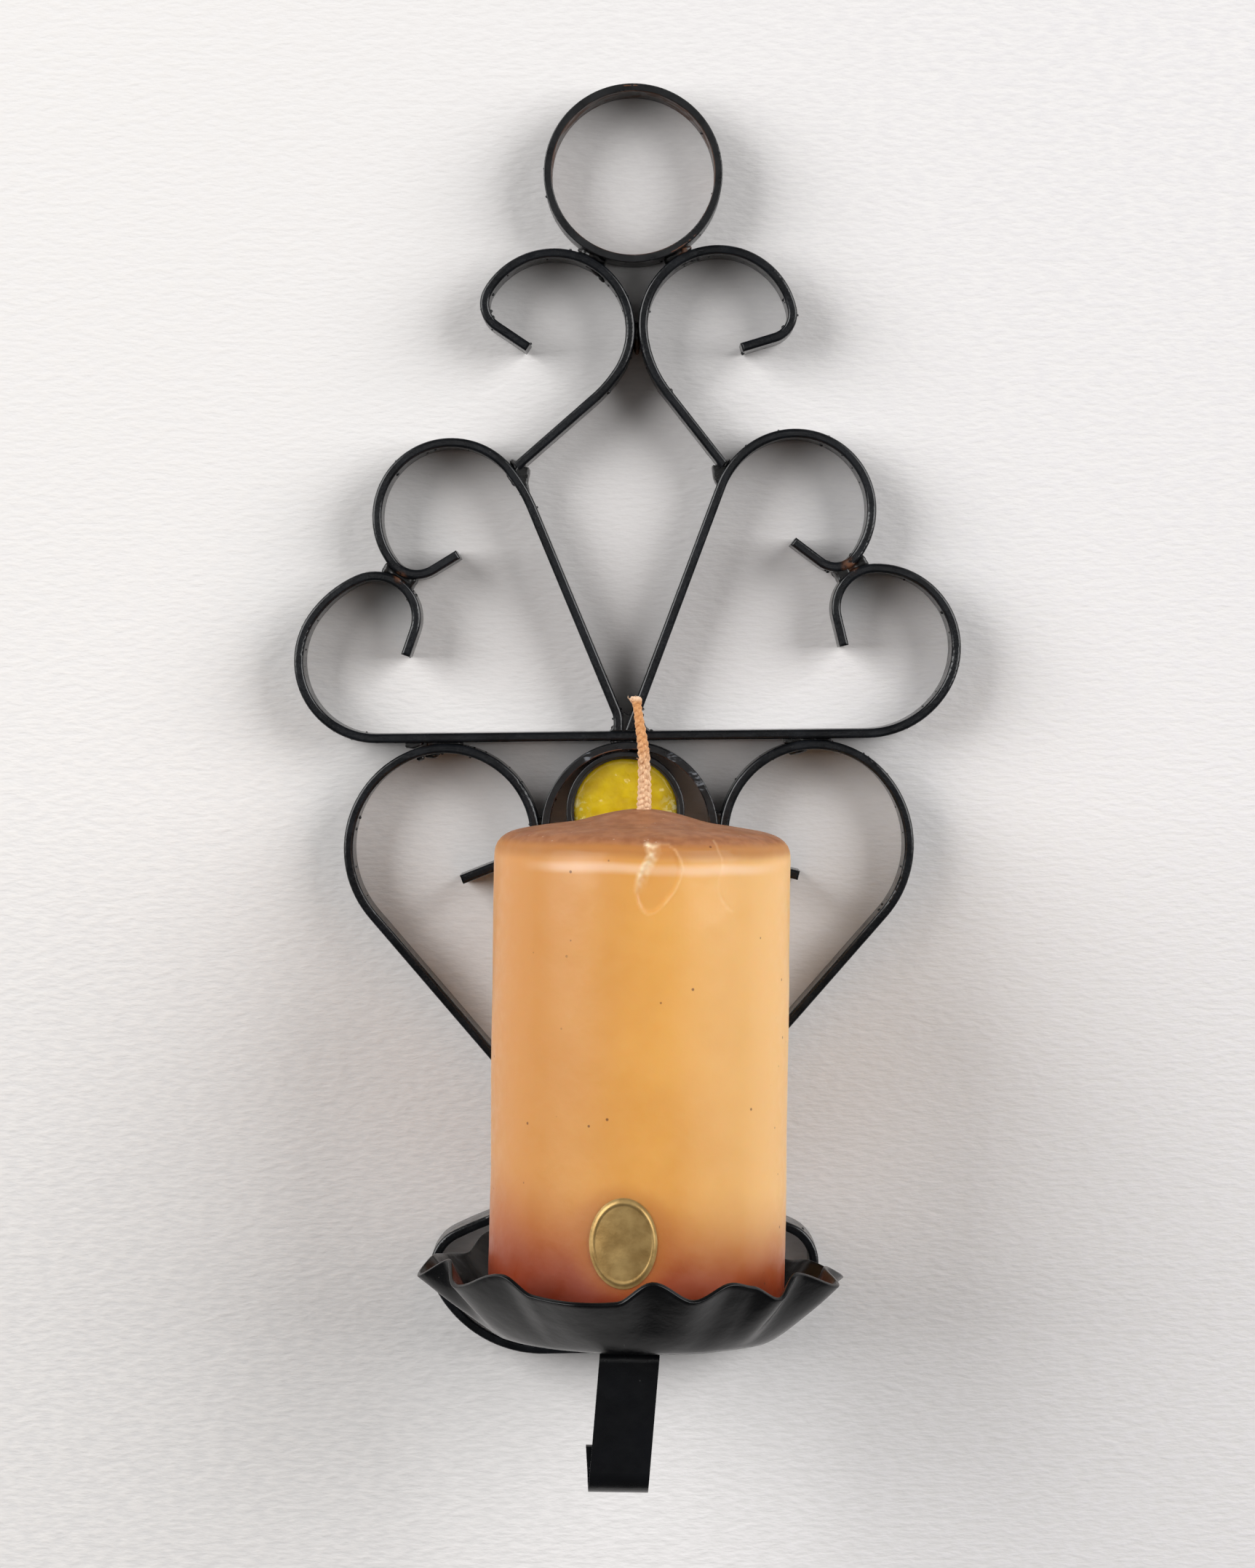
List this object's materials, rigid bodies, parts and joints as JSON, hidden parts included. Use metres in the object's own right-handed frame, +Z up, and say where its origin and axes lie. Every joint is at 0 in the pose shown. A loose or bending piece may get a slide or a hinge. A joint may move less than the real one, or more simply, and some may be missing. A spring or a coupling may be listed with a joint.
{
  "type": "wall candle holder",
  "caption": "Strip-iron wall candle holder: scrollwork back with hanging ring and yellow glass roundel, ruffled drip plate on a bracket, and a pillar candle on a spike.",
  "frame": {"origin": "centre of the hanging ring, in the wall plane", "axes": "+Z up, +X to the right as seen from the room, +Y into the wall"},
  "size_m": [0.1433, 0.1007, 0.2911],
  "materials": {
    "strip_paint": "satin black paint on hand-bent strip",
    "ring_paint": "thin matt black paint on sawn tube, with some rust",
    "weld_paint": "lumpy painted weld, rust in places",
    "plate_paint": "semi-gloss black paint on thin sheet",
    "bracket_paint": "satin black paint",
    "pricket_steel": "black painted steel spike",
    "yellow_glass": "yellow glass, slightly uneven",
    "glass_cement": "dark putty",
    "candle_wax": "orange-yellow wax, redder at the foot",
    "wick_cotton": "waxed braided cotton",
    "gold_foil": "matt gold foil"
  },
  "bodies": {
    "holder": {"hanging_ring": "ring_paint", "base_scroll": "strip_paint", "bottom_loop": "strip_paint", "upper_scroll_left": "strip_paint", "upper_scroll_right": "strip_paint", "middle_scroll_left": "strip_paint", "middle_scroll_right": "strip_paint", "lower_scroll_left": "strip_paint", "lower_scroll_right": "strip_paint", "glass_ring": "ring_paint", "glass_bezel": "ring_paint", "glass_disc": "yellow_glass", "glass_cement": "glass_cement", "bracket": "bracket_paint", "drip_plate": "plate_paint", "pricket": "pricket_steel", "weld_ring_left": "weld_paint", "weld_ring_right": "weld_paint", "weld_shoulder_left": "weld_paint", "weld_shoulder_right": "weld_paint", "weld_curl_left": "weld_paint", "weld_curl_right": "weld_paint", "weld_lower_top_left": "weld_paint", "weld_lower_top_right": "weld_paint", "weld_lower_side_left": "weld_paint", "weld_lower_side_right": "weld_paint", "weld_upper_pair": "weld_paint", "weld_glass_ring": "weld_paint", "weld_bezel": "weld_paint", "weld_middle_feet": "weld_paint", "weld_lower_feet": "weld_paint", "weld_bracket": "weld_paint"},
    "candle": {"candle": "candle_wax", "wick": "wick_cotton", "seal": "gold_foil"}
  },
  "joints": [
    {"name": "candle_lift", "type": "slide", "parent": "holder", "child": "candle", "axis": [0.014, 0, 0.9999], "range_m": [0, 0.04]}
  ]
}
